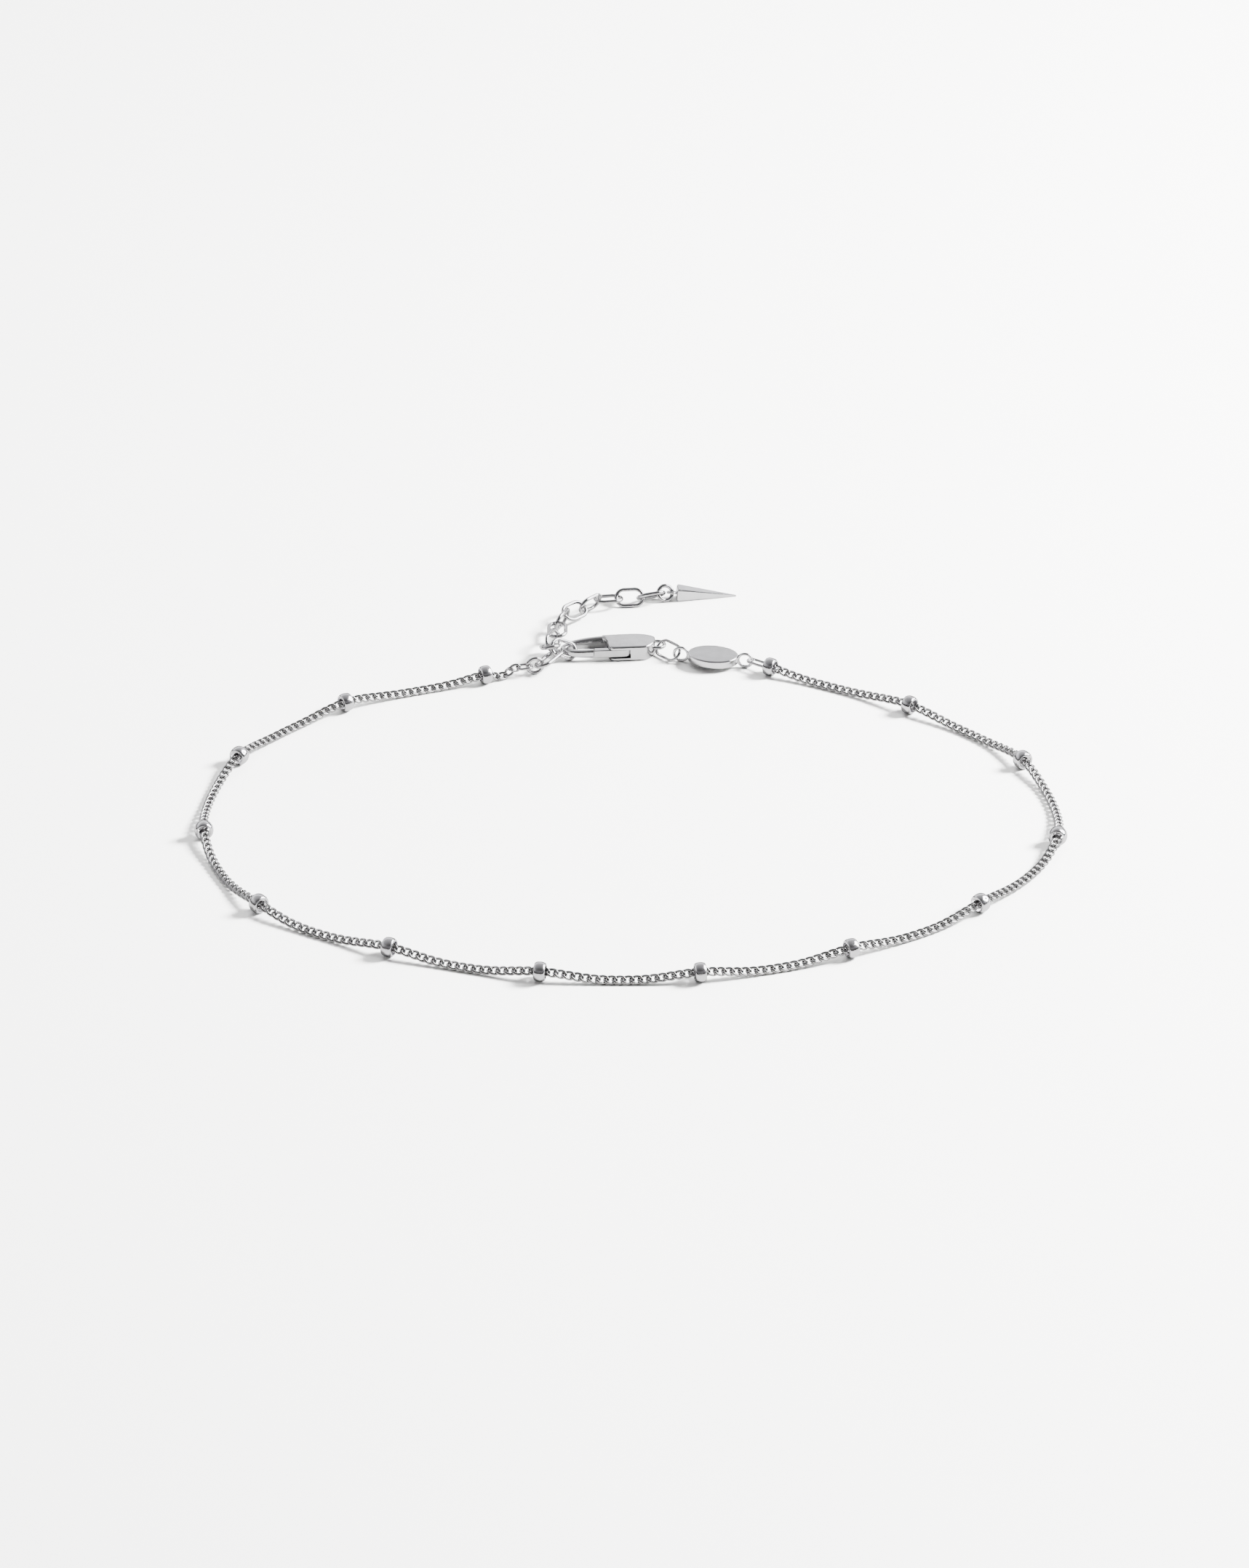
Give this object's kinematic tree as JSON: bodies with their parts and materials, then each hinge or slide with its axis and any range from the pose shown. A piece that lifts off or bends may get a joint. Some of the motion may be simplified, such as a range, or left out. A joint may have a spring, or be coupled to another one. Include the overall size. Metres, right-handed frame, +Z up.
{
  "type": "chain anklet",
  "caption": "Fine silver curb-chain anklet with spaced rondelle beads, a trigger clasp, a plain oval tag and an adjustable extender chain ending in a faceted spike drop.",
  "frame": {"origin": "middle of the outer box, on the surface that the anklet lies on", "axes": "+Z up from the surface; +X along the long way of the oval; +Y from the bare front of the chain towards the clasp"},
  "size_m": [0.083, 0.0746, 0.0022],
  "materials": {
    "silver": "polished sterling silver"
  },
  "bodies": {
    "anklet": {"chain_01": "silver", "chain_02": "silver", "chain_03": "silver", "chain_04": "silver", "chain_05": "silver", "chain_06": "silver", "chain_07": "silver", "chain_08": "silver", "chain_09": "silver", "chain_10": "silver", "chain_11": "silver", "chain_12": "silver", "chain_13": "silver", "chain_14": "silver", "bead_01": "silver", "bead_02": "silver", "bead_03": "silver", "bead_04": "silver", "bead_05": "silver", "bead_06": "silver", "bead_07": "silver", "bead_08": "silver", "bead_09": "silver", "bead_10": "silver", "bead_11": "silver", "bead_12": "silver", "bead_13": "silver", "bead_14": "silver", "chain_end_link": "silver", "end_ring": "silver", "extender_link_01": "silver", "extender_link_02": "silver", "extender_link_03": "silver", "extender_link_04": "silver", "extender_link_05": "silver", "extender_link_06": "silver", "extender_link_07": "silver", "extender_link_08": "silver", "extender_link_09": "silver", "extender_link_10": "silver", "extender_link_11": "silver", "drop_ring": "silver", "spike_drop": "silver", "clasp_body": "silver", "clasp_pin": "silver", "clasp_link": "silver", "tag": "silver", "tag_link": "silver"},
    "gate": {"clasp_gate": "silver"}
  },
  "joints": [
    {"name": "gate_hinge", "type": "hinge", "parent": "anklet", "child": "gate", "pos_m": [0.00026, 0.02452, 0.00082], "axis": [0, 0, 1], "range_deg": [-16, 0], "stiffness_Nm_per_rad": 0.004}
  ]
}
